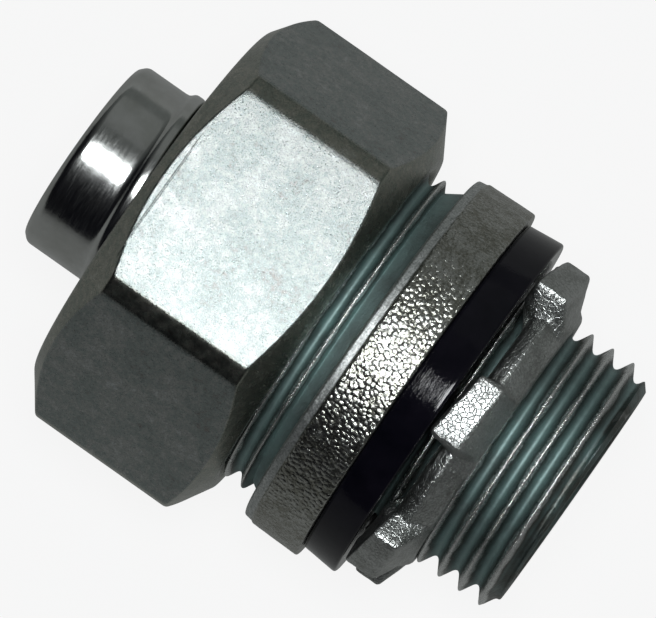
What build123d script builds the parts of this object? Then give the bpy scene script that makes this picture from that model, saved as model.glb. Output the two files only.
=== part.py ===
"""Half-inch straight liquid-tight conduit connector, a threaded pipe union, in seven pieces.

Millimetres. +X runs along the axis from the conduit end to the hub thread, +Z is square to
one pair of the nut's flats, and the origin lies on the axis in the collar's seat plane.
Every thread is right-handed. Angles are counted about +X, from +Y towards +Z.
"""

import math
import os

from build123d import *

# hub: half-inch pipe thread, 14 threads to the inch
HUB_R = 20.955 / 2
HUB_PITCH = 25.4 / 14
HUB_DEPTH = 1.16
HUB_LAND = 0.22
HUB_END = 14.0
HUB_RELIEF_END = 2.0
HUB_GROOVE_START = 1.1
HUB_GROOVE_PHASE = 2.03
HUB_CHAMFER = 0.95

# collar, neck and bore of the body
COLLAR_LENGTH = 4.6
COLLAR_R = 15.2
COLLAR_DRAFT = 0.1
SHOULDER_R = 13.6
SHOULDER_LENGTH = 0.6
NECK_R = 13.45
NECK_PITCH = 1.5
NECK_DEPTH = 0.92
NECK_LAND = 0.24
NECK_END = -15.0
NECK_GROOVE_PHASE = -6.4
BORE_R = 7.9
CUP_R = 11.5
MOUTH_R = 12.2
MOUTH_DEPTH = 2.4
SEAT_X = -7.5

# compression nut
NUT_FLATS = 32.3
NUT_CORNER_R = 17.9
NUT_RIM_R = 14.95
NUT_LEFT = -23.6
NUT_LEFT_CHAMFER = 2.15
NUT_RIGHT = -7.9
NUT_RIGHT_CHAMFER = 1.9
NUT_HOLE_R = 10.85
NUT_CAVITY_R = 12.75
NUT_RELIEF_R = 13.65
NUT_RELIEF = (-18.6, -16.9)
NUT_SHOULDER_X = -20.95

# sealing ring and slip washer, both free inside the nut
RING_IN_R = 10.8
RING_OUT_R = 12.5
RING_TIP_R = 11.35
RING_TIP_X = -15.3
RING_TAPER = 2.9
WASHER_THICKNESS = 0.8
END_PLAY = 0.05

# ferrule, a steel sleeve that the conduit's core slides over
SLEEVE_R = 7.8
SLEEVE_WALL = 0.8
SLEEVE_END = -29.9
NOSE_LENGTH = 3.7
NOSE_STEP = 0.2
FLANGE_THICKNESS = 0.75
SKIRT_R = 11.4
SKIRT_WALL = 0.6
SKIRT_END = -12.4
SPIRAL_PITCH = 2.6
SPIRAL_HEIGHT = 0.4
SPIRAL_WIDTH = 1.1
SPIRAL_PHASE = -25.1
SPIRAL_START = -25.5
SPIRAL_END = -16.0

# rubber gasket on the collar's seat
GASKET_THICKNESS = 3.0
GASKET_R = 14.4
GASKET_RIM_R = 14.65
GASKET_IN_R = 10.6

# locknut with bent lugs
LOCKNUT_LEFT = 4.3
LOCKNUT_RIGHT = 7.2
LOCKNUT_PEAK = (5.3, 12.5)
LUGS = 6
LUG_R = 14.4
LUG_ANGLE = 25.0
LUG_PHASE = 95.7
LUG_LEFT = 3.55
LUG_TOP_RIGHT = 5.85
LUG_FOOT_R = 10.75
LUG_SKEW = 8.0

# running clearances of the two screw threads
THREAD_ROOT_GAP = 0.12
THREAD_CREST_GAP = 0.23
THREAD_FLANK_GAP = 0.1
FLANK_SLOPE = math.tan(math.radians(30))
OVERRUN = 0.3


def turned(points):
    """A solid turned about X from (x, radius) points."""
    outline = Wire.make_polygon([(x, r, 0) for x, r in points], close=True)
    return revolve(Face(outline), Axis.X)


def along_helix(section, pitch, x_start, x_end, phase):
    """Sweep (offset, radius) points along a right-hand helix that is at x = phase on the +Y side."""
    mean_r = sum(r for _, r in section) / len(section)
    path = Edge.make_helix(pitch, x_end - x_start, mean_r)
    outline = Wire.make_polygon([(r, 0, dx) for dx, r in section], close=True)
    ridge = Solid.sweep(Face(outline), path, is_frenet=True)
    start_angle = 360 * (x_start - phase) / pitch
    ridge = Rot(0, 0, start_angle) * ridge
    return Plane((x_start, 0, 0), x_dir=(0, 1, 0), z_dir=(1, 0, 0)).location * ridge


def external_groove(crest_r, depth, pitch, land):
    """Section of the groove cut in a male thread, run out past the crest."""
    top = (pitch - land) / 2
    root = top - depth * FLANK_SLOPE
    over = OVERRUN * FLANK_SLOPE
    return [
        (-top - over, crest_r + OVERRUN),
        (top + over, crest_r + OVERRUN),
        (root, crest_r - depth),
        (-root, crest_r - depth),
    ]


def internal_groove(crest_r, land, bore_r):
    """Section of the groove in a nut that clears a male thread's ridge on both flanks."""
    tip_r = crest_r + THREAD_ROOT_GAP
    foot_r = bore_r - OVERRUN
    tip = land / 2 + THREAD_FLANK_GAP - THREAD_ROOT_GAP * FLANK_SLOPE
    foot = tip + (tip_r - foot_r) * FLANK_SLOPE
    return [(-foot, foot_r), (foot, foot_r), (tip, tip_r), (-tip, tip_r)]


def connector_body():
    """Cast body: threaded hub, round collar and threaded neck around one stepped bore."""
    bore_edge = 0.4
    cast_edge = 0.25
    under_root = 0.1
    hub_foot = HUB_R - HUB_DEPTH - under_root
    blank = turned(
        [
            (SEAT_X, BORE_R),
            (HUB_END - bore_edge, BORE_R),
            (HUB_END, BORE_R + bore_edge),
            (HUB_END, hub_foot),
            (HUB_END - HUB_CHAMFER, HUB_R),
            (HUB_RELIEF_END + bore_edge, HUB_R),
            (HUB_RELIEF_END, hub_foot),
            (0, hub_foot),
            (0, COLLAR_R + COLLAR_DRAFT - cast_edge),
            (-cast_edge, COLLAR_R + COLLAR_DRAFT),
            (cast_edge - COLLAR_LENGTH, COLLAR_R),
            (-COLLAR_LENGTH, COLLAR_R - cast_edge),
            (-COLLAR_LENGTH, SHOULDER_R),
            (-COLLAR_LENGTH - SHOULDER_LENGTH, SHOULDER_R),
            (-COLLAR_LENGTH - SHOULDER_LENGTH - SHOULDER_R + NECK_R, NECK_R),
            (NECK_END + NECK_DEPTH, NECK_R),
            (NECK_END, NECK_R - NECK_DEPTH - under_root),
            (NECK_END, MOUTH_R),
            (NECK_END + MOUTH_DEPTH, CUP_R),
            (SEAT_X, CUP_R),
        ]
    )
    hub_cut = along_helix(
        external_groove(HUB_R, HUB_DEPTH, HUB_PITCH, HUB_LAND),
        HUB_PITCH,
        HUB_GROOVE_START,
        HUB_END + 0.8 * HUB_PITCH,
        HUB_GROOVE_PHASE,
    )
    neck_cut = along_helix(
        external_groove(NECK_R, NECK_DEPTH, NECK_PITCH, NECK_LAND),
        NECK_PITCH,
        NECK_END - NECK_PITCH,
        NECK_GROOVE_PHASE + NECK_PITCH / 4,
        NECK_GROOVE_PHASE,
    )
    return blank - hub_cut - neck_cut


def compression_nut():
    """Hexagon nut with turned corners, threaded at the neck end and holed for the conduit."""
    edge = 0.4
    hexagon = Wire.make_polygon(
        [
            (
                NUT_LEFT,
                NUT_FLATS / math.sqrt(3) * math.cos(math.radians(60 * k)),
                NUT_FLATS / math.sqrt(3) * math.sin(math.radians(60 * k)),
            )
            for k in range(6)
        ],
        close=True,
    )
    bar = extrude(Face(hexagon), NUT_RIGHT - NUT_LEFT, dir=(1, 0, 0))
    form = turned(
        [
            (NUT_LEFT, 0),
            (NUT_LEFT, NUT_RIM_R),
            (NUT_LEFT + NUT_LEFT_CHAMFER, NUT_CORNER_R),
            (NUT_RIGHT - NUT_RIGHT_CHAMFER, NUT_CORNER_R),
            (NUT_RIGHT, NUT_RIM_R - edge),
            (NUT_RIGHT, 0),
        ]
    )
    thread_bore = NECK_R - NECK_DEPTH + THREAD_CREST_GAP
    inside = turned(
        [
            (NUT_LEFT - 1, 0),
            (NUT_LEFT - 1, NUT_HOLE_R + edge + 1),
            (NUT_LEFT + edge, NUT_HOLE_R),
            (NUT_SHOULDER_X, NUT_HOLE_R),
            (NUT_SHOULDER_X, NUT_CAVITY_R),
            (NUT_RELIEF[0], NUT_CAVITY_R),
            (NUT_RELIEF[0], NUT_RELIEF_R),
            (NUT_RELIEF[1], NUT_RELIEF_R),
            (NUT_RELIEF[1], thread_bore),
            (NUT_RIGHT - 1, thread_bore),
            (NUT_RIGHT, thread_bore + 1),
            (NUT_RIGHT + 1, thread_bore + 2),
            (NUT_RIGHT + 1, 0),
        ]
    )
    thread = along_helix(
        internal_groove(NECK_R, NECK_LAND, thread_bore),
        NECK_PITCH,
        sum(NUT_RELIEF) / 2,
        NUT_RIGHT + NECK_PITCH,
        NECK_GROOVE_PHASE + NECK_PITCH / 2,
    )
    return (bar & form) - inside - thread


def sealing_ring():
    """Tapered nylon ring that the nut wedges onto the conduit's jacket."""
    back = NUT_SHOULDER_X + END_PLAY + WASHER_THICKNESS
    return turned(
        [
            (back, RING_IN_R),
            (back, RING_OUT_R),
            (RING_TIP_X - RING_TAPER, RING_OUT_R),
            (RING_TIP_X, RING_TIP_R),
            (RING_TIP_X, RING_IN_R),
        ]
    )


def slip_washer():
    """Thin steel washer that lets the nut turn without twisting the sealing ring."""
    left = NUT_SHOULDER_X + END_PLAY
    right = left + WASHER_THICKNESS
    return turned([(left, NUT_HOLE_R), (left, RING_OUT_R), (right, RING_OUT_R), (right, NUT_HOLE_R)])


def conduit_ferrule():
    """Steel sleeve with a rolled spiral, closed by a flange and a skirt around the jacket."""
    inner_r = SLEEVE_R - SLEEVE_WALL
    edge = 0.35
    seat = SEAT_X - END_PLAY
    floor = seat - FLANGE_THICKNESS
    shell = turned(
        [
            (SLEEVE_END, inner_r),
            (SLEEVE_END, SLEEVE_R - edge),
            (SLEEVE_END + edge, SLEEVE_R),
            (SLEEVE_END + NOSE_LENGTH, SLEEVE_R),
            (SLEEVE_END + NOSE_LENGTH, SLEEVE_R - NOSE_STEP),
            (floor, SLEEVE_R - NOSE_STEP),
            (floor, SKIRT_R - SKIRT_WALL),
            (SKIRT_END, SKIRT_R - SKIRT_WALL),
            (SKIRT_END, SKIRT_R),
            (seat, SKIRT_R),
            (seat, inner_r),
        ]
    )
    sunk = SLEEVE_WALL / 2
    foot = (SPIRAL_WIDTH + sunk) / 2
    top = (SPIRAL_WIDTH - SPIRAL_HEIGHT) / 2
    spiral = along_helix(
        [
            (-foot, SLEEVE_R - sunk),
            (foot, SLEEVE_R - sunk),
            (top, SLEEVE_R + SPIRAL_HEIGHT),
            (-top, SLEEVE_R + SPIRAL_HEIGHT),
        ],
        SPIRAL_PITCH,
        SPIRAL_START,
        SPIRAL_END,
        SPIRAL_PHASE,
    )
    return shell + spiral


def panel_gasket():
    """Flat rubber ring on the hub, against the collar, slightly wider at its free face."""
    edge = 0.2
    return turned(
        [
            (0.02, GASKET_IN_R),
            (0.02, GASKET_R - edge),
            (edge, GASKET_R),
            (GASKET_THICKNESS - edge, GASKET_RIM_R),
            (GASKET_THICKNESS, GASKET_RIM_R - edge),
            (GASKET_THICKNESS, GASKET_IN_R),
        ]
    )


def locknut():
    """Cast ring with six skewed lugs and a thread that fits the hub."""
    bore = HUB_R - HUB_DEPTH + THREAD_CREST_GAP
    ring = turned(
        [
            (LOCKNUT_LEFT, bore),
            (LOCKNUT_LEFT, LOCKNUT_PEAK[1] - 0.4),
            LOCKNUT_PEAK,
            (LOCKNUT_RIGHT - 0.4, LUG_FOOT_R + 0.7),
            (LOCKNUT_RIGHT, LUG_FOOT_R),
            (LOCKNUT_RIGHT, bore),
        ]
    )
    lug_outline = Wire.make_polygon(
        [
            (LUG_LEFT - 1, LUG_R, 0),
            (LUG_TOP_RIGHT, LUG_R, 0),
            (LOCKNUT_RIGHT, LUG_FOOT_R, 0),
            (LUG_LEFT + 1.2, LUG_FOOT_R, 0),
            (LUG_LEFT - 1, LOCKNUT_PEAK[1], 0),
        ],
        close=True,
    )
    wedge = Rot(-LUG_ANGLE / 2, 0, 0) * revolve(Face(lug_outline), Axis.X, LUG_ANGLE)
    block = Box(4, 8, 16, align=(Align.MAX, Align.CENTER, Align.CENTER))
    skewed = Pos(LUG_LEFT, LUG_R, 0) * Rot(0, -LUG_SKEW, 0) * block
    wedge = wedge - skewed
    for k in range(LUGS):
        ring = ring + Rot(LUG_PHASE + 360 / LUGS * k, 0, 0) * wedge
    thread = along_helix(
        internal_groove(HUB_R, HUB_LAND, bore),
        HUB_PITCH,
        LOCKNUT_LEFT - HUB_PITCH,
        LOCKNUT_RIGHT + HUB_PITCH,
        HUB_GROOVE_PHASE + HUB_PITCH / 2,
    )
    return ring - thread


os.makedirs("parts", exist_ok=True)
for make in (
    connector_body,
    compression_nut,
    sealing_ring,
    slip_washer,
    conduit_ferrule,
    panel_gasket,
    locknut,
):
    export_step(make(), f"parts/{make.__name__}.step")
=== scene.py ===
import math

import bpy
import numpy as np
from mathutils import Matrix, Vector


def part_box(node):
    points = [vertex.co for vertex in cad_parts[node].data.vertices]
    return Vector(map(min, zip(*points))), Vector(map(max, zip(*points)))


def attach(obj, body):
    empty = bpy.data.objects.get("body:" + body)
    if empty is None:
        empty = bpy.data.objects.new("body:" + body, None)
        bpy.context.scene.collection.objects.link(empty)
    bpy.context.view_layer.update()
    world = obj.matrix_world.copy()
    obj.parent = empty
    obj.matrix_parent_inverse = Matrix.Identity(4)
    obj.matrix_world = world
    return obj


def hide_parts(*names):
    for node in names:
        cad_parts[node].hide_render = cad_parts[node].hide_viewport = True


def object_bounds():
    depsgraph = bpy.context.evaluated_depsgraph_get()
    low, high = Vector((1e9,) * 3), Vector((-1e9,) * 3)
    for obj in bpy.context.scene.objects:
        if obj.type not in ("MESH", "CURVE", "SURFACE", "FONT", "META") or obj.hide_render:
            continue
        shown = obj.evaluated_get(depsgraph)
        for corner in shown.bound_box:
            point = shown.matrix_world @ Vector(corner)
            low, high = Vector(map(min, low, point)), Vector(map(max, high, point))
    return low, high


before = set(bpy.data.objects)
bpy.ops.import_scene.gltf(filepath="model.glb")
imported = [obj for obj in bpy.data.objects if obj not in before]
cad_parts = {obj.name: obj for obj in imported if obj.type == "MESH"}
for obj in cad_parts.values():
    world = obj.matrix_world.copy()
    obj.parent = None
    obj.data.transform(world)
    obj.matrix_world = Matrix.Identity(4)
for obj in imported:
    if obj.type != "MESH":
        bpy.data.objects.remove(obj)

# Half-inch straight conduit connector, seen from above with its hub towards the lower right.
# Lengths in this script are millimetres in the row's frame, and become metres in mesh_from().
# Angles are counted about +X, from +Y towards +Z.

CAD_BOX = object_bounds()
TAU = math.tau
MM = 0.001
SEED = 7


def box_mm(node):
    """A CAD node's lowest and highest corners, in millimetres."""
    low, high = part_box(node)
    return [v / MM for v in low], [v / MM for v in high]


BODY_LOW, BODY_HIGH = box_mm("connector_body")
NUT_LOW, NUT_HIGH = box_mm("compression_nut")
FERRULE_LOW, FERRULE_HIGH = box_mm("conduit_ferrule")
RING_LOW, RING_HIGH = box_mm("sealing_ring")
WASHER_LOW, WASHER_HIGH = box_mm("slip_washer")
GASKET_LOW, GASKET_HIGH = box_mm("panel_gasket")
LOCK_LOW, LOCK_HIGH = box_mm("locknut")

# hub and neck threads, both right-handed
HUB_PITCH = 25.4 / 14
HUB_R = 20.955 / 2
HUB_DEPTH = 1.16
HUB_PHASE = 2.03
HUB_CHAMFER = 0.95
HUB_RELIEF = 2.0
NECK_PITCH = 1.5
NECK_R = 13.45
NECK_DEPTH = 0.92
NECK_PHASE = -6.15
THREAD_GAP = 0.1
INNER_THREAD_TRIM = 0.23

# how round the threads are at the root and the crest, as shares of a flank
HUB_ROOT_ROUND = 0.4
HUB_CREST_ROUND = 0.16
NECK_ROOT_ROUND = 0.5
NECK_CREST_ROUND = 0.22

# the body; the gasket's seat on the collar is at x = 0
HUB_FOOT_R = HUB_R - HUB_DEPTH - 0.1
NECK_FOOT_R = NECK_R - NECK_DEPTH - 0.1
BORE_R = 7.9
CUP_R = 11.5
MOUTH_R = 12.2
MOUTH_DEPTH = 2.4
SEAT_X = -7.5
SHOULDER_R = 13.6
COLLAR_X = -4.6
COLLAR_LIP_X = -4.95

# the locknut's lugs: where the first one is, how far it and its flank reach, and how far it leans
LUG_CENTRE = math.radians(95.7)
LUG_HALF = math.radians(12.5)
LUG_EDGE = math.radians(2.1)
LUG_SKEW = 0.42

SIXTH = TAU / 6
# a step longer than any run, so that rounded() leaves the runs whole
UNDIVIDED = 99


# ---------------------------------------------------------------- noise

def hashed(ix, iy, iz, seed):
    """A number from 0 to 1 for each whole-number cell."""
    h = ix * 374761393 + iy * 668265263 + iz * 2147483647 + seed * 1274126177
    h = (h ^ (h >> 13)) * 1274126177
    h = h ^ (h >> 16)
    return (h & 0xFFFFFF) / float(0x1000000)


def value_noise(points, size, seed):
    """Smooth noise from 0 to 1 with features of about this size."""
    q = points / size
    base = np.floor(q).astype(np.int64)
    t = q - base
    t = t * t * (3 - 2 * t)
    total = np.zeros(len(points))
    for dx in (0, 1):
        for dy in (0, 1):
            for dz in (0, 1):
                weight = np.ones(len(points))
                for axis, d in enumerate((dx, dy, dz)):
                    weight = weight * (t[:, axis] if d else 1 - t[:, axis])
                total += weight * hashed(base[:, 0] + dx, base[:, 1] + dy, base[:, 2] + dz, seed)
    return total


def fractal(points, size, seed):
    """Three layers of noise, each half the size and strength of the one before, from -0.5 to 0.5."""
    layers = [(value_noise(points, size / 2**k, seed + k) - 0.5) / 2**k for k in range(3)]
    return sum(layers) / 1.75


def pebbles(points, size, seed):
    """Rounded grains: 1 at the middle of a grain, 0 in the gaps."""
    q = points / size
    base = np.floor(q).astype(np.int64)
    nearest = np.full(len(points), 9.0)
    for dx in (-1, 0, 1):
        for dy in (-1, 0, 1):
            for dz in (-1, 0, 1):
                cell = base + (dx, dy, dz)
                within = [hashed(cell[:, 0], cell[:, 1], cell[:, 2], seed + 11 * a) for a in range(3)]
                spot = cell + np.stack(within, 1)
                nearest = np.minimum(nearest, ((q - spot) ** 2).sum(1))
    return np.clip(1 - nearest, 0, 1)


def smoothstep(t):
    """0 below 0, 1 above 1, and an S curve between them."""
    t = np.clip(t, 0, 1)
    return t * t * (3 - 2 * t)


def soft_min(a, b, width):
    """The lower of two values, blended where they are within about this width of each other."""
    h = np.clip(0.5 + 0.5 * (b - a) / width, 0, 1)
    return b * (1 - h) + a * h - width * h * (1 - h)


def from_nearest_sixth(angle, first):
    """Signed angle from the nearest of six equal places round the axis, one of which is first."""
    return (angle - first + SIXTH / 2) % SIXTH - SIXTH / 2


# ---------------------------------------------------------------- turned meshes

def rounded(corners, step, arc_steps=5):
    """Points along an outline of (x, radius, how far its rounding reaches), with no run over step."""
    points = []
    last = len(corners) - 1
    for i, (x, r, bend) in enumerate(corners):
        here = np.array((x, r), float)
        if bend == 0 or i in (0, last):
            arc = [here]
        else:
            before = np.array(corners[i - 1][:2], float) - here
            after = np.array(corners[i + 1][:2], float) - here
            reach = min(bend, 0.45 * np.linalg.norm(before), 0.45 * np.linalg.norm(after))
            start = here + before / np.linalg.norm(before) * reach
            end = here + after / np.linalg.norm(after) * reach
            ts = [k / arc_steps for k in range(arc_steps + 1)]
            arc = [start * (1 - t) ** 2 + here * 2 * t * (1 - t) + end * t * t for t in ts]
        if points:
            run = arc[0] - points[-1]
            pieces = max(1, math.ceil(float(np.linalg.norm(run)) / step))
            points += [points[-1] + run * k / pieces for k in range(1, pieces)]
        points += arc
    return points


def thread_height(turn, root_round, crest_round):
    """Height of a V thread, 0 at the root and 1 at the crest, for a position counted in turns."""
    t = 1 - np.abs(1 - 2 * (turn % 1))
    low = root_round / 2
    high = 1 - crest_round / 2
    h = np.where(t < root_round, t * t / (2 * root_round) + low, t)
    h = np.where(t > 1 - crest_round, 1 - (1 - t) ** 2 / (2 * crest_round) - crest_round / 2, h)
    return np.clip((h - low) / (high - low), 0, 1)


# where a thread gets its rows, in turns from root to crest
THREAD_STEPS = (0, 0.04, 0.08, 0.12, 0.17, 0.23, 0.3, 0.37, 0.42, 0.455, 0.48)
# points that are closer than one part in this many of a millimetre become one
JOINS_PER_MM = 20000


class Lathe:
    """A closed mesh turned about X, built row by row, whose rows can follow a helix."""

    def __init__(self, columns):
        self.angle = np.arange(columns) * TAU / columns
        self.rows = []
        self.zones = []

    def ring(self, x, r):
        """A plain row, square to the axis."""
        ones = np.ones(len(self.angle))
        self.rows.append((ones * x, ones * r))

    def path(self, corners, step=0.6):
        """Plain rows along an outline."""
        for x, r in rounded(corners, step):
            self.ring(x, r)

    def helix(self, x_start, x_end, phase, pitch, radius, steps=THREAD_STEPS):
        """Rows that follow a right-hand thread from x_start to x_end, cut square at both ends."""
        lead = self.angle / TAU
        first = math.floor((x_start - phase) / pitch) - 1
        last = math.ceil((x_end - phase) / pitch)
        halves = sorted({*steps, 0.5, *(1 - s for s in steps if s)})
        begin = len(self.rows)
        for turn in range(first, last + 1):
            for step in halves:
                x = np.clip(phase + pitch * (turn + step + lead), x_start, x_end)
                self.rows.append((x, radius(x, (x - phase) / pitch - lead, self.angle)))
        self.zones.append((begin, len(self.rows) - 1, len(halves)))

    def mesh(self, name, shape=None, sharp=50):
        """The rows as one closed piece. Each helix is joined to itself a turn further on at the seam."""
        x = np.array([row[0] for row in self.rows])
        r = np.array([row[1] for row in self.rows])
        count, columns = x.shape
        angle = np.broadcast_to(self.angle, x.shape)
        points = np.stack([x, r * np.cos(angle), r * np.sin(angle)], -1).reshape(-1, 3)
        if shape is not None:
            points = shape(points)
        grid = np.arange(count * columns).reshape(count, columns)
        after = np.roll(grid, -1, axis=0)
        quads = [np.stack([grid[:, :-1], grid[:, 1:], after[:, 1:], after[:, :-1]], -1).reshape(-1, 4)]
        near, far = grid[:, -1].copy(), after[:, -1].copy()
        near_next, far_next = grid[:, 0].copy(), after[:, 0].copy()
        for begin, end, offset in self.zones:
            for i in range(begin, end):
                near_next[i] = grid[min(i + offset, end), 0]
                far_next[i] = grid[min(i + 1 + offset, end), 0]
        quads.append(np.stack([near, near_next, far_next, far], -1))
        return mesh_from(name, points, np.concatenate(quads), sharp)


def mesh_from(name, points, quads, sharp):
    """A Blender object from points in millimetres, with doubled points joined."""
    keys = np.round(points * JOINS_PER_MM).astype(np.int64)
    unique, index, inverse = np.unique(keys, axis=0, return_index=True, return_inverse=True)
    points = points[index]
    quads = inverse.reshape(-1)[quads]
    faces = []
    for a, b, c, d in quads.tolist():
        corners = [a]
        for v in (b, c, d):
            if v not in corners:
                corners.append(v)
        if len(corners) > 2:
            faces.append(corners)
    mesh = bpy.data.meshes.new(name)
    mesh.from_pydata((points * MM).tolist(), [], faces)
    mesh.validate()
    mesh.shade_smooth()
    mesh.set_sharp_from_angle(angle=math.radians(sharp))
    obj = bpy.data.objects.new(name, mesh)
    bpy.context.scene.collection.objects.link(obj)
    return obj


def vertices_mm(obj):
    """The piece's vertices, one row each, in millimetres."""
    spots = np.zeros(len(obj.data.vertices) * 3)
    obj.data.vertices.foreach_get("co", spots)
    return spots.reshape(-1, 3) / MM


def mark_points(obj, name, values):
    """Store one number per vertex for the piece's material to read."""
    obj.data.attributes.new(name, "FLOAT", "POINT").data.foreach_set("value", values)


def outward(points):
    """Unit vectors straight out from the X axis."""
    out = points * (0, 1, 1)
    return out / np.maximum(np.linalg.norm(out, axis=1, keepdims=True), 1e-9)


# ---------------------------------------------------------------- pieces

def hub_radius(turn):
    return HUB_R - HUB_DEPTH * (1 - thread_height(turn, HUB_ROOT_ROUND, HUB_CREST_ROUND))


def neck_radius(turn):
    return NECK_R - NECK_DEPTH * (1 - thread_height(turn, NECK_ROOT_ROUND, NECK_CREST_ROUND))


def make_body():
    """Bore, neck thread and hub thread; the cast collar is its own mesh around it."""
    hub_end = BODY_HIGH[0]
    neck_end = BODY_LOW[0]
    seam = math.radians(100)
    ramp_drop = 0.62
    ramp_slope = 0.65
    ramp_blend = 0.4
    neck_stop = COLLAR_X + 0.3
    cone_x = -6.3
    cone_fade = 0.7
    end_shade_share = 0.5

    def hub(x, turn, angle):
        chamfer = HUB_FOOT_R + (hub_end - x) * HUB_DEPTH / HUB_CHAMFER
        return np.minimum(hub_radius(turn), np.maximum(chamfer, HUB_FOOT_R))

    def neck(x, turn, angle):
        r = neck_radius(turn)
        # past the last root the surface climbs to the collar as a plain cone; the seam is underneath
        round_from_seam = (angle + seam) % TAU
        travel = x - NECK_PHASE - NECK_PITCH * (round_from_seam - seam) / TAU
        cone = np.minimum(NECK_R - ramp_drop + ramp_slope * travel, SHOULDER_R)
        share = smoothstep(round_from_seam / ramp_blend) * smoothstep((TAU - round_from_seam) / ramp_blend)
        r = r + (np.where(travel > 0, cone, np.maximum(r, cone)) - r) * share
        chamfer = NECK_FOOT_R + (x - neck_end)
        return np.minimum(r, chamfer)

    body = Lathe(384)
    body.path([(SEAT_X, BORE_R, 0), (SEAT_X, CUP_R, 0), (neck_end + MOUTH_DEPTH, CUP_R, 0.3)])
    body.path([(neck_end + MOUTH_DEPTH, CUP_R, 0), (neck_end, MOUTH_R, 0.1), (neck_end, NECK_FOOT_R, 0)])
    body.helix(neck_end, COLLAR_X, NECK_PHASE, NECK_PITCH, neck)
    body.path([(COLLAR_X, SHOULDER_R, 0), (neck_stop, SHOULDER_R, 0), (neck_stop, HUB_FOOT_R, 0)])
    body.path([(neck_stop, HUB_FOOT_R, 0), (HUB_RELIEF, HUB_FOOT_R, 0)])
    body.helix(HUB_RELIEF, hub_end, HUB_PHASE, HUB_PITCH, hub)
    body.path([(hub_end, HUB_FOOT_R, 0), (hub_end, BORE_R + 0.4, 0.1), (hub_end - 0.4, BORE_R, 0.1)])
    body.path([(hub_end - 0.5, BORE_R, 0), (SEAT_X + 0.01, BORE_R, 0)], 1.5)
    obj = body.mesh("body_threads", sharp=48)
    spots = vertices_mm(obj)
    reach = np.hypot(spots[:, 1], spots[:, 2])
    on_hub = (reach - HUB_R + HUB_DEPTH) / HUB_DEPTH
    on_neck = (reach - NECK_R + NECK_DEPTH) / NECK_DEPTH
    # the hub's end chamfer gets a middle mark, so the thread material paints it dark as painted shade and
    # makes it smoother
    on_end = smoothstep((spots[:, 0] - hub_end + HUB_CHAMFER) / 0.3)
    on_hub = np.maximum(on_hub, end_shade_share * on_end)
    # next to the collar the mark is cut back, so the neck and cone there are painted a darker teal, as
    # painted shade beside the collar
    on_neck = on_neck * (1 - smoothstep((spots[:, 0] - cone_x) / 0.3) * cone_fade)
    mark_points(obj, "crest", np.clip(np.where(spots[:, 0] > COLLAR_X, on_hub, on_neck), 0, 1))
    return obj


def make_collar():
    """The rough-cast collar, with grains and slow waves in its outer face."""
    seat = 0.0
    top = BODY_HIGH[2] - 0.1
    coarse = 1.5
    collar = Lathe(960)
    collar.path([(COLLAR_LIP_X, HUB_FOOT_R, 0), (COLLAR_LIP_X, SHOULDER_R, 0)], coarse)
    collar.path(
        [
            (COLLAR_LIP_X, SHOULDER_R, 0),
            (COLLAR_LIP_X, top - 0.7, 0.25),
            (COLLAR_LIP_X + 0.15, top - 0.32, 0.12),
            (COLLAR_LIP_X + 0.8, top - 0.22, 0.1),
            (COLLAR_LIP_X + 0.95, top - 0.1, 0.1),
            (seat, top, 0.22),
            (seat, top - 1.2, 0),
        ],
        0.09,
    )
    collar.path([(seat, top - 1.2, 0), (seat, HUB_FOOT_R, 0), (COLLAR_LIP_X + 0.01, HUB_FOOT_R, 0)], coarse)

    def cast(points):
        x, r = points[:, 0], np.linalg.norm(points[:, 1:], axis=1)
        strength = smoothstep((r - SHOULDER_R - 0.2) / 0.8) * smoothstep((seat - x) / 0.35 + 0.15)
        grains = 0.016 * (pebbles(points, 0.6, SEED) - 0.72)
        waves = 0.07 * fractal(points, 3.2, SEED + 9)
        return points + outward(points) * ((grains + waves) * strength)[:, None]

    obj = collar.mesh("body_collar", cast, sharp=60)
    spots = vertices_mm(obj)
    on_edge = smoothstep((np.hypot(spots[:, 1], spots[:, 2]) - SHOULDER_R) / 0.2)
    mark_points(obj, "band", on_edge * smoothstep((COLLAR_LIP_X + 0.85 - spots[:, 0]) / 0.14))
    return obj


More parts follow.
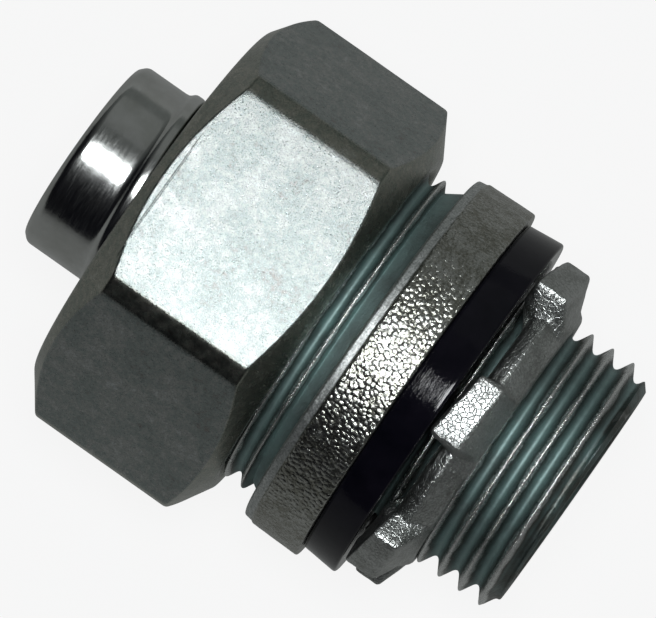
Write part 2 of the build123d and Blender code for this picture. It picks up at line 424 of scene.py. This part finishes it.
def make_nut():
    """Hexagon nut: a turned outline held inside six flats, which swell slightly in the middle."""
    left, right = NUT_LOW[0], NUT_HIGH[0]
    flat = NUT_HIGH[2]
    corner = NUT_HIGH[1]
    rim = 14.95
    hole = 10.85
    cavity = 12.75
    relief = 13.65
    relief_x = (-18.6, -16.9)
    shoulder_x = -20.95
    left_chamfer = 2.15
    right_chamfer = 1.9
    edge_width = 0.12
    crown = 0.28
    row_step = 0.11
    flat_margin = 4.2
    nut = Lathe(480)
    off_flat = from_nearest_sixth(nut.angle, TAU / 4)
    hexagon = (flat - crown * (np.tan(off_flat) / math.tan(SIXTH / 2)) ** 2) / np.cos(off_flat)

    def thread(x, turn, angle):
        inner = NECK_R - NECK_DEPTH + INNER_THREAD_TRIM
        r = np.clip(neck_radius(turn) + THREAD_GAP, inner, relief)
        return np.maximum(r, inner + 1 - (right - x))

    nut.path([(shoulder_x, hole, 0), (shoulder_x, cavity, 0), (relief_x[0], cavity, 0)], 1.5)
    nut.path([(relief_x[0], relief, 0.2), (relief_x[1], relief, 0)], 1.5)
    nut.helix(relief_x[1], right, NECK_PHASE, NECK_PITCH, thread, THREAD_STEPS[::2])
    nut.path([(right, NECK_R + 0.4, 0), (right, rim - 0.55, 0)], 0.5)
    outline = rounded(
        [
            (right, rim - 0.55, 0),
            (right, rim - 0.3, 0.3),
            (right - right_chamfer, corner, 0.25),
            (left + left_chamfer, corner, 0.25),
            (left, rim, 0.45),
            (left, rim - 0.8, 0),
        ],
        row_step,
        6,
    )
    ones = np.ones(len(nut.angle))
    for x, r in outline:
        # along the middle of the flats one row in five is enough
        if right - flat_margin > x > left + flat_margin and round((x - left) / row_step) % 5:
            continue
        nut.rows.append((ones * x, soft_min(ones * r, hexagon, edge_width)))
    mouth = [(left, rim - 0.8, 0), (left, hole + 0.4, 0.1), (left + 0.4, hole, 0.1)]
    nut.path([*mouth, (shoulder_x - 0.01, hole, 0)], 0.7)

    def worn(points):
        r = np.linalg.norm(points[:, 1:], axis=1)
        outer = smoothstep((r - 15.5) / 0.6)
        dents = 0.02 * fractal(points, 4.5, SEED + 21) + 0.008 * fractal(points, 0.9, SEED + 25)
        return points + outward(points) * ((dents - 0.012) * outer)[:, None]

    obj = nut.mesh("nut_shell", worn, sharp=60)
    spots = vertices_mm(obj)
    off_flat = from_nearest_sixth(np.arctan2(spots[:, 2], spots[:, 1]), TAU / 4)
    reach = np.hypot(spots[:, 1], spots[:, 2]) * np.cos(off_flat)
    across = reach * np.tan(off_flat) / (flat * math.tan(SIXTH / 2))
    mark_points(obj, "ground", smoothstep((reach + crown * across**2 - flat + 0.12) / 0.08))
    return obj


def make_ferrule():
    """Sleeve with a rolled spiral, flange and skirt."""
    left, right = FERRULE_LOW[0], FERRULE_HIGH[0]
    sleeve = 7.8
    inner = 7.0
    skirt = FERRULE_HIGH[1]
    skirt_inner = skirt - 0.6
    skirt_end = -12.4
    floor = right - 0.75
    nose_edge = 0.5
    pitch, height, width = 2.6, 0.4, 0.62
    phase = -25.1
    spiral_end = -15.8
    steps = (0, 0.03, 0.06, 0.09, 0.12, 0.15, 0.18, 0.21, 0.25, 0.3, 0.4)

    def spiral(x, turn, angle):
        off = (turn + 0.5) % 1 - 0.5
        along = x - off * pitch
        shape = np.exp(-((off * pitch / width) ** 4))
        start = smoothstep((along - phase + 0.9) / 0.5)
        stop = smoothstep((spiral_end - along) / 0.8)
        return sleeve + height * shape * start * stop

    ferrule = Lathe(320)
    nose = [(left, inner, 0), (left, sleeve - nose_edge, 0.15), (left + nose_edge, sleeve, 0.3)]
    ferrule.path([*nose, (left + 1.2, sleeve, 0)], 0.4)
    ferrule.helix(left + 1.3, floor, phase, pitch, spiral, steps)
    ferrule.path([(floor, skirt_inner, 0), (skirt_end, skirt_inner, 0.15), (skirt_end, skirt, 0.15)], 1)
    ferrule.path([(skirt_end + 0.3, skirt, 0), (right, skirt, 0.2), (right, inner, 0)], 1)
    ferrule.path([(right - 0.01, inner, 0), (left + 0.5, inner, 0), (left + 0.2, inner, 0)], 1.2)

    def rolled(points):
        return points + outward(points) * (0.012 * fractal(points, 2.2, SEED + 31) - 0.005)[:, None]

    return ferrule.mesh("ferrule_sleeve", rolled)


def make_gasket():
    """Moulded rubber ring, slightly wider at its free face."""
    left, right = GASKET_LOW[0], GASKET_HIGH[0]
    top = GASKET_HIGH[2]
    inner = 10.6
    gasket = Lathe(512)
    gasket.path(
        [
            (left, inner, 0),
            (left, top - 0.3, 0.25),
            (right, top - 0.02, 0.3),
            (right, inner, 0.25),
            (left + 0.2, inner, 0.2),
        ],
        0.28,
    )

    def moulded(points):
        outer = smoothstep((np.linalg.norm(points[:, 1:], axis=1) - 13.9) / 0.5)
        waves = 0.04 * fractal(points, 3.4, SEED + 41) + 0.004 * fractal(points, 0.6, SEED + 45)
        return points + outward(points) * ((waves - 0.03) * outer)[:, None]

    return gasket.mesh("gasket_ring", moulded, sharp=55)


def make_inner_ring():
    """Tapered nylon sealing ring."""
    left, right = RING_LOW[0], RING_HIGH[0]
    top = RING_HIGH[2]
    inner, tip, taper = 10.8, 11.35, 2.9
    ring = Lathe(256)
    ring.path(
        [
            (left, inner, 0),
            (left, top, 0.3),
            (right - taper, top, 0.3),
            (right, tip, 0.12),
            (right, inner, 0.12),
            (left + 0.2, inner, 0),
        ],
        0.6,
    )
    return ring.mesh("nylon_ring")


def make_washer():
    """Stamped slip washer."""
    left, right = WASHER_LOW[0], WASHER_HIGH[0]
    top = WASHER_HIGH[2]
    inner = 10.85
    washer = Lathe(256)
    washer.path(
        [
            (left, inner, 0),
            (left, top, 0.15),
            (right, top, 0.25),
            (right, inner, 0.1),
            (left + 0.1, inner, 0),
        ],
        0.5,
    )
    return washer.mesh("steel_slip_washer")


def make_locknut():
    """Cast locknut: one section for the ring and one for a lug, blended around the axis."""
    left, right = LOCK_LOW[0], LOCK_HIGH[0]
    lug_top = LOCK_HIGH[2] - 0.05
    bore = HUB_R - HUB_DEPTH + INNER_THREAD_TRIM
    back = 4.3
    rows_per_run = 4
    nut = Lathe(1080)
    off = from_nearest_sixth(nut.angle, LUG_CENTRE)
    lug = smoothstep((LUG_HALF + LUG_EDGE - np.abs(off)) / (2 * LUG_EDGE))
    skew = np.clip(off / LUG_HALF, -1, 1) * LUG_SKEW

    def thread(x, turn, angle):
        return np.clip(hub_radius(turn) + THREAD_GAP, bore, HUB_R + 0.12)

    ring_outline = rounded(
        [
            (right, 10.75, 0),
            (right - 0.12, 11.0, 0.1),
            (6.6, 11.5, 0.25),
            (5.45, 12.45, 0.3),
            (4.5, 12.0, 0.3),
            (back, 11.5, 0.2),
            (back, bore, 0),
        ],
        UNDIVIDED,
        4,
    )
    lug_outline = rounded(
        [
            (right, 10.75, 0),
            (right - 0.12, 11.0, 0.1),
            (6.5, 12.7, 0.2),
            (5.85, lug_top, 0.35),
            (3.55, lug_top, 0.3),
            (3.35, 11.6, 0.4),
            (back, bore, 0),
        ],
        UNDIVIDED,
        4,
    )
    nut.helix(back, right, HUB_PHASE, HUB_PITCH, thread, THREAD_STEPS[::2])
    pairs = list(zip(ring_outline, lug_outline))
    for (a0, b0), (a1, b1) in zip(pairs, pairs[1:]):
        run = max(np.linalg.norm(np.subtract(a1, a0)), np.linalg.norm(np.subtract(b1, b0)))
        pieces = rows_per_run * math.ceil(run / 0.5)
        for k in range(pieces):
            t = k / pieces
            ring = a0 * (1 - t) + a1 * t
            tooth = b0 * (1 - t) + b1 * t
            lean = smoothstep((tooth[1] - 11.4) / 1.2) * smoothstep((6.9 - tooth[0]) / 2.4)
            x = ring[0] + (tooth[0] - skew * lean - ring[0]) * lug
            r = ring[1] + (tooth[1] - ring[1]) * lug
            nut.rows.append((x, r))

    def cast(points):
        r = np.linalg.norm(points[:, 1:], axis=1)
        strength = smoothstep((r - 10.9) / 0.5)
        grains = 0.035 * (pebbles(points, 0.5, SEED + 51) - 0.75)
        waves = 0.07 * fractal(points, 2.4, SEED + 55)
        x = points[:, 0]
        # the end faces stay where they are
        sideways = np.zeros_like(points)
        sideways[:, 0] = strength * 0.1 * fractal(points, 1.6, SEED + 59) * smoothstep((x - left) / 0.3)
        sideways[:, 0] *= smoothstep((right - x) / 0.3)
        return points + outward(points) * ((grains + waves - 0.03) * strength)[:, None] + sideways

    return nut.mesh("locknut_casting", cast, sharp=60)


# ---------------------------------------------------------------- materials

class Shader:
    """A short way to wire a Principled material from noise in the object's own coordinates."""

    def __init__(self, name):
        self.mat = bpy.data.materials.new(name)
        self.mat.use_nodes = True
        self.nodes = self.mat.node_tree.nodes
        self.links = self.mat.node_tree.links
        self.main = self.nodes["Principled BSDF"]
        self.place = self.nodes.new("ShaderNodeTexCoord").outputs["Object"]

    def set(self, **values):
        """Constant values, on the Principled shader's own sockets."""
        for key, value in values.items():
            self.main.inputs[key.replace("_", " ")].default_value = value

    def axes(self):
        """X, Y and Z in the object's own coordinates, in metres."""
        node = self.nodes.new("ShaderNodeSeparateXYZ")
        self.links.new(self.place, node.inputs["Vector"])
        return node.outputs

    def mark(self, name):
        """The number that mark_points() stored on the piece, or 0 where there is none."""
        node = self.nodes.new("ShaderNodeAttribute")
        node.attribute_name = name
        return node.outputs["Fac"]

    def noise(self, size_mm, detail=4, stretch=None, rough=0.55):
        """Noise with features of about this size; stretch scales it per axis."""
        node = self.nodes.new("ShaderNodeTexNoise")
        node.inputs["Scale"].default_value = 1 / (size_mm * MM)
        node.inputs["Detail"].default_value = detail
        node.inputs["Roughness"].default_value = rough
        place = self.place
        if stretch:
            mapping = self.nodes.new("ShaderNodeMapping")
            mapping.inputs["Scale"].default_value = stretch
            self.links.new(place, mapping.inputs["Vector"])
            place = mapping.outputs["Vector"]
        self.links.new(place, node.inputs["Vector"])
        return node.outputs["Fac"]

    def cells(self, size_mm, feature):
        """Distance from the nearest cell's middle (F1) or wall (DISTANCE_TO_EDGE), in cells."""
        node = self.nodes.new("ShaderNodeTexVoronoi")
        node.feature = feature
        node.inputs["Scale"].default_value = 1 / (size_mm * MM)
        self.links.new(self.place, node.inputs["Vector"])
        return node.outputs["Distance"]

    def ramp(self, value, stops):
        """A colour from a value, by stops of (value, colour)."""
        node = self.nodes.new("ShaderNodeValToRGB")
        elements = node.color_ramp.elements
        while len(elements) < len(stops):
            elements.new(0.5)
        for element, (at, colour) in zip(elements, stops):
            element.position = at
            element.color = (*colour, 1)
        self.links.new(value, node.inputs["Fac"])
        return node.outputs["Color"]

    def spread(self, value, low, high, from_low=0.3, from_high=0.7):
        """A value running from_low to from_high, stretched to run from low to high and held there."""
        node = self.nodes.new("ShaderNodeMapRange")
        for key, v in (("From Min", from_low), ("From Max", from_high), ("To Min", low), ("To Max", high)):
            node.inputs[key].default_value = v
        self.links.new(value, node.inputs["Value"])
        return node.outputs["Result"]

    def math(self, operation, a, b):
        """a and b are each an output or a number."""
        node = self.nodes.new("ShaderNodeMath")
        node.operation = operation
        for socket, v in zip(node.inputs, (a, b)):
            if isinstance(v, (int, float)):
                socket.default_value = v
            else:
                self.links.new(v, socket)
        return node.outputs["Value"]

    def mix(self, factor, a, b, blend="MIX"):
        """Two colours, each an output or a colour, mixed by an output or a number."""
        node = self.nodes.new("ShaderNodeMix")
        node.data_type = "RGBA"
        node.blend_type = blend
        for socket, v in ((node.inputs[0], factor), (node.inputs[6], a), (node.inputs[7], b)):
            if isinstance(v, (int, float)):
                socket.default_value = v
            elif isinstance(v, tuple):
                socket.default_value = (*v, 1)
            else:
                self.links.new(v, socket)
        return node.outputs[2]

    def bump(self, height, depth_mm, strength=1.0, under=None):
        """A bumped normal, on top of the one given as under."""
        node = self.nodes.new("ShaderNodeBump")
        node.inputs["Distance"].default_value = depth_mm * MM
        node.inputs["Strength"].default_value = strength
        self.links.new(height, node.inputs["Height"])
        if under is not None:
            self.links.new(under, node.inputs["Normal"])
        return node.outputs["Normal"]

    def wire(self, **sockets):
        """Join outputs to the Principled shader's sockets, and return the material."""
        for key, value in sockets.items():
            self.links.new(value, self.main.inputs[key.replace("_", " ")])
        return self.mat


def scored_line(s):
    """A fine line round part of the upper flat, square to the axis: 1 on the line, 0 elsewhere."""
    line_x = -22.1
    top_z = 15.6
    x, y, z = s.axes()
    from_line = s.math("ABSOLUTE", s.math("SUBTRACT", x, line_x * MM), 0)
    line = s.spread(from_line, 1.0, 0.0, 0.03 * MM, 0.09 * MM)
    on_top = s.math("GREATER_THAN", z, top_z * MM)
    reach = s.spread(y, 1.0, 0.0, 2.0 * MM, 4.0 * MM)
    return s.math("MULTIPLY", s.math("MULTIPLY", line, on_top), reach)


def nut_metal():
    """Zinc plate, grained and satin on the flats, smoother where the corners were turned."""
    s = Shader("zinc_satin")
    s.set(Metallic=1.0)
    flats = s.mark("ground")
    corners = s.math("SUBTRACT", 1, flats)
    cloud = s.noise(3.0, 7, rough=0.68)
    mottle = s.noise(0.5, 6, rough=0.75)
    stain = s.math("ADD", s.math("MULTIPLY", cloud, 0.45), s.math("MULTIPLY", mottle, 0.55))
    colour = s.ramp(
        stain,
        (
            (0.36, (0.29, 0.268, 0.255)),
            (0.46, (0.33, 0.375, 0.36)),
            (0.54, (0.42, 0.43, 0.41)),
            (0.64, (0.54, 0.57, 0.565)),
        ),
    )
    grain = s.noise(0.12, 3, rough=0.75)
    sparkle = s.ramp(grain, ((0.38, (0.6, 0.62, 0.64)), (0.6, (1.0, 1.0, 1.0))))
    colour = s.mix(1.0, colour, sparkle, "MULTIPLY")
    colour = s.mix(flats, s.mix(1.0, colour, (0.88, 0.85, 0.76), "MULTIPLY"), colour)
    satin = s.math("ADD", s.spread(cloud, 0.32, 0.36), s.spread(grain, -0.12, 0.12))
    turned = s.spread(s.noise(0.7, 4), 0.22, 0.3)
    rough = s.math("ADD", s.math("MULTIPLY", satin, flats), s.math("MULTIPLY", turned, corners))
    frost = s.math("MULTIPLY", grain, s.math("ADD", s.math("MULTIPLY", flats, 0.85), 0.15))
    fine = s.bump(frost, 0.035, 1.0)
    drawn = s.bump(s.noise(0.6, 4), 0.02, 0.4, fine)
    nick = s.bump(scored_line(s), 0.03, 1.0, drawn)
    return s.wire(Base_Color=colour, Roughness=rough, Normal=nick)


def ferrule_metal():
    """Bright turned zinc plate with fine rings around the axis."""
    s = Shader("zinc_bright")
    s.set(Metallic=1.0)
    cloud = s.noise(2.0, 5)
    colour = s.ramp(cloud, ((0.3, (0.44, 0.45, 0.43)), (0.7, (0.56, 0.57, 0.56))))
    rings = s.noise(0.5, 4, stretch=(8, 0.4, 0.4))
    rough = s.spread(rings, 0.12, 0.24)
    fine = s.bump(rings, 0.006, 0.5)
    spots = s.bump(s.noise(0.35, 3), 0.012, 0.5, fine)
    return s.wire(Base_Color=colour, Roughness=rough, Normal=spots)


def thread_metal():
    """Cut threads under zinc plate, with a blue-green cast in the roots; the crests are painted pale as
    painted highlight and the flanks dark as painted shade.
    """
    s = Shader("zinc_thread")
    s.set(Metallic=1.0)
    cloud = s.noise(2.4, 5)
    height = s.math("ADD", s.mark("crest"), s.spread(cloud, -0.2, 0.2))
    # by height: teal roots, flanks painted dark as painted shade, crests painted pale as painted highlight
    colour = s.ramp(
        height,
        (
            (0.0, (0.24, 0.33, 0.32)),
            (0.3, (0.18, 0.23, 0.225)),
            (0.62, (0.10, 0.105, 0.095)),
            (0.85, (0.75, 0.76, 0.75)),
        ),
    )
    grit = s.noise(0.26, 4, rough=0.7)
    worn = s.spread(s.mark("crest"), 0.28, -0.1, 0.1, 0.8)
    rough = s.math("ADD", s.spread(grit, 0.24, 0.42), worn)
    rings = s.bump(s.noise(0.4, 4, stretch=(6, 0.35, 0.35)), 0.015, 0.5)
    rough_crest = s.math("MULTIPLY", grit, s.spread(s.mark("crest"), 0.5, 1.2, 0.3, 0.9))
    spots = s.bump(rough_crest, 0.1, 1.0, rings)
    return s.wire(Base_Color=colour, Roughness=rough, Normal=spots)


def cast_metal(name, dark, light, gloss, size_mm, depth_mm, packed):
    """Zinc plate over a pebbled casting, with its grains packed close or standing apart."""
    s = Shader(name)
    s.set(Metallic=1.0)
    if packed:
        domes = s.spread(s.cells(size_mm, "DISTANCE_TO_EDGE"), 0.0, 1.0, 0.0, 0.12)
    else:
        domes = s.spread(s.math("POWER", s.cells(size_mm, "F1"), 2), 1.0, 0.0, 0.02, 0.5)
    lumps = s.math("ADD", domes, s.math("MULTIPLY", s.noise(0.22, 3), 1.0 if packed else 0.3))
    cloud = s.noise(1.6, 5)
    band = s.mark("band")
    speckle = s.noise(0.16, 3, rough=0.7)
    # the grains' tops are painted lighter and the gaps between them darker, as painted highlight and painted
    # shade, on top of the random cloud
    tone = s.math("ADD", s.math("MULTIPLY", cloud, 0.75), s.math("MULTIPLY", domes, 0.12))
    tone = s.math("ADD", tone, s.spread(speckle, -0.22, 0.22))
    edge = s.ramp(speckle, ((0.35, (0.24, 0.26, 0.25)), (0.65, (0.62, 0.64, 0.63))))
    colour = s.mix(band, s.ramp(tone, ((0.3, dark), (0.62, light))), edge)
    rough = s.math("ADD", s.spread(s.noise(0.5, 3), gloss, gloss + 0.1), s.math("MULTIPLY", band, 0.2))
    grains = s.bump(s.math("MULTIPLY", lumps, s.math("SUBTRACT", 1, band)), depth_mm, 1.0)
    fine = s.bump(speckle, 0.035, 0.8, grains)
    return s.wire(Base_Color=colour, Roughness=rough, Normal=fine)


def rubber():
    """Glossy black rubber with faint moulding lines."""
    s = Shader("black_rubber")
    s.set(Specular_IOR_Level=0.22)
    cloud = s.noise(2.5, 4)
    colour = s.ramp(cloud, ((0.3, (0.0015, 0.0015, 0.003)), (0.7, (0.004, 0.0035, 0.006))))
    skin = s.noise(0.3, 4)
    rough = s.spread(skin, 0.05, 0.1)
    lines = s.bump(s.noise(0.5, 3, stretch=(5, 0.5, 0.5)), 0.02, 0.5)
    fine = s.bump(skin, 0.012, 0.5, lines)
    return s.wire(Base_Color=colour, Roughness=rough, Normal=fine)


def nylon():
    """Natural off-white nylon."""
    s = Shader("natural_nylon")
    s.set(Subsurface_Weight=0.2, Subsurface_Scale=0.002, Specular_IOR_Level=0.4)
    cloud = s.noise(3.0, 4)
    colour = s.ramp(cloud, ((0.3, (0.72, 0.71, 0.63)), (0.7, (0.82, 0.81, 0.75))))
    fine = s.bump(s.noise(0.3, 3), 0.01, 0.5)
    return s.wire(Base_Color=colour, Roughness=s.spread(s.noise(0.6, 3), 0.38, 0.5), Normal=fine)


# ---------------------------------------------------------------- assembly

def finish_piece(piece, material, body, slot, *nodes):
    """Give the piece its material, and say what it rides on and stands for."""
    piece.data.materials.append(material)
    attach(piece, body)
    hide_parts(*nodes)


COLLAR_DARK, COLLAR_LIGHT = (0.24, 0.24, 0.205), (0.48, 0.49, 0.465)
LUG_DARK, LUG_LIGHT = (0.29, 0.3, 0.285), (0.5, 0.515, 0.505)

finish_piece(make_body(), thread_metal(), "body", "cast_body", "connector_body")
collar_metal = cast_metal("zinc_cast_collar", COLLAR_DARK, COLLAR_LIGHT, 0.2, 0.38, 0.05, False)
finish_piece(make_collar(), collar_metal, "body", "cast_body", "connector_body")
finish_piece(make_nut(), nut_metal(), "nut", "plated_nut", "compression_nut")
finish_piece(make_ferrule(), ferrule_metal(), "ferrule", "plated_ferrule", "conduit_ferrule")
finish_piece(make_gasket(), rubber(), "gasket", "gasket_rubber", "panel_gasket")
finish_piece(make_inner_ring(), nylon(), "seal_pack", "nylon", "sealing_ring")
finish_piece(make_washer(), ferrule_metal(), "seal_pack", "plated_washer", "slip_washer")
lug_metal = cast_metal("zinc_cast_lugs", LUG_DARK, LUG_LIGHT, 0.3, 0.36, 0.018, True)
finish_piece(make_locknut(), lug_metal, "locknut", "cast_locknut", "locknut")


# ---------------------------------------------------------------- camera, lights and stage

def add_camera():
    """A long lens almost straight above, turned so that +X runs down to the right."""
    place = Vector((22.2, -77.3, 543.2)) * MM
    aim = Vector((-8.52, 0.87, 0.0)) * MM
    roll = math.radians(35.5)
    forward = (aim - place).normalized()
    across = Vector((math.cos(roll), math.sin(roll), 0))
    right = (across - forward * across.dot(forward)).normalized()
    up = right.cross(forward)
    camera = bpy.data.cameras.new("camera")
    camera.sensor_width = 36
    camera.lens = 412.4
    camera.clip_start = 0.01
    obj = bpy.data.objects.new("camera", camera)
    turn = Matrix((right, up, -forward)).transposed().to_4x4()
    obj.matrix_world = Matrix.Translation(place) @ turn
    bpy.context.scene.collection.objects.link(obj)
    bpy.context.scene.camera = obj


def add_light(name, angle_deg, along, distance_mm, size_mm, power, tint=(1, 1, 1)):
    """A soft round light at an angle about the axis, shining at the object's middle."""
    middle = (CAD_BOX[0] + CAD_BOX[1]) / 2
    angle = math.radians(angle_deg)
    direction = Vector((along, math.cos(angle), math.sin(angle))).normalized()
    light = bpy.data.lights.new(name, "AREA")
    light.shape = "DISK"
    light.size = size_mm * MM
    light.energy = power
    light.color = tint
    obj = bpy.data.objects.new(name, light)
    obj.location = middle + direction * distance_mm * MM
    obj.rotation_euler = (-direction).to_track_quat("-Z", "Y").to_euler()
    obj.visible_camera = False
    bpy.context.scene.collection.objects.link(obj)


def floor_paint():
    """Pale to the eye with a faint shadow; in the metal's reflections it glows as a dim table, brighter
    towards +Y as painted light from the fill.
    """
    s = Shader("floor_paint")
    s.set(Base_Color=(0.04, 0.04, 0.04, 1), Roughness=0.9, Specular_IOR_Level=0.0, Emission_Strength=1.0)
    # painted light: the glow seen in reflections grows towards +Y, where the fill lights the table more
    table = s.spread(s.axes()[1], 0.118, 0.262, -0.25, 0.25)
    path = s.nodes.new("ShaderNodeLightPath")
    eye = path.outputs["Is Camera Ray"]
    dim = s.mix(1.0, (0.97, 1.0, 0.98), table, "MULTIPLY")
    colour = s.mix(eye, dim, (0.89, 0.89, 0.89))
    return s.wire(Emission_Color=colour)


def add_floor():
    """A plain pale floor under the nut's lowest flat."""
    half = 3.0
    z = CAD_BOX[0].z
    corners = [(-half, -half, z), (half, -half, z), (half, half, z), (-half, half, z)]
    mesh = bpy.data.meshes.new("floor")
    mesh.from_pydata(corners, [], [(0, 1, 2, 3)])
    floor = bpy.data.objects.new("floor", mesh)
    mesh.materials.append(floor_paint())
    bpy.context.scene.collection.objects.link(floor)


def add_world():
    """A backdrop that is pale to the eye, and dim as a light, brighter towards +Y."""
    world = bpy.data.worlds.new("studio")
    bpy.context.scene.world = world
    world.use_nodes = True
    nodes, links = world.node_tree.nodes, world.node_tree.links
    seen = nodes["Background"]
    seen.inputs["Color"].default_value = (0.91, 0.91, 0.91, 1)
    dim = nodes.new("ShaderNodeBackground")
    place = nodes.new("ShaderNodeTexCoord")
    sides = nodes.new("ShaderNodeSeparateXYZ")
    links.new(place.outputs["Generated"], sides.inputs["Vector"])
    room = nodes.new("ShaderNodeValToRGB")
    stops = ((0.35, (0.005, 0.005, 0.007, 1)), (0.85, (0.13, 0.14, 0.136, 1)))
    for element, (at, colour) in zip(room.color_ramp.elements, stops):
        element.position = at
        element.color = colour
    lean = nodes.new("ShaderNodeMath")
    lean.operation = "MULTIPLY_ADD"
    lean.inputs[1].default_value = 0.5
    links.new(sides.outputs["X"], lean.inputs[0])
    links.new(sides.outputs["Y"], lean.inputs[2])
    shift = nodes.new("ShaderNodeMapRange")
    shift.inputs["From Min"].default_value = -1
    links.new(lean.outputs["Value"], shift.inputs["Value"])
    links.new(shift.outputs["Result"], room.inputs["Fac"])
    links.new(room.outputs["Color"], dim.inputs["Color"])
    path = nodes.new("ShaderNodeLightPath")
    mix = nodes.new("ShaderNodeMixShader")
    links.new(path.outputs["Is Camera Ray"], mix.inputs["Fac"])
    links.new(dim.outputs["Background"], mix.inputs[1])
    links.new(seen.outputs["Background"], mix.inputs[2])
    links.new(mix.outputs["Shader"], nodes["World Output"].inputs["Surface"])


bpy.context.scene.view_settings.view_transform = "Standard"
add_camera()
add_light("key", angle_deg=94.2, along=0.03, distance_mm=900, size_mm=300, power=7.5, tint=(0.97, 1.0, 1.02))
add_light("fill", angle_deg=38, along=-0.1, distance_mm=900, size_mm=720, power=0.1)
add_floor()
add_world()
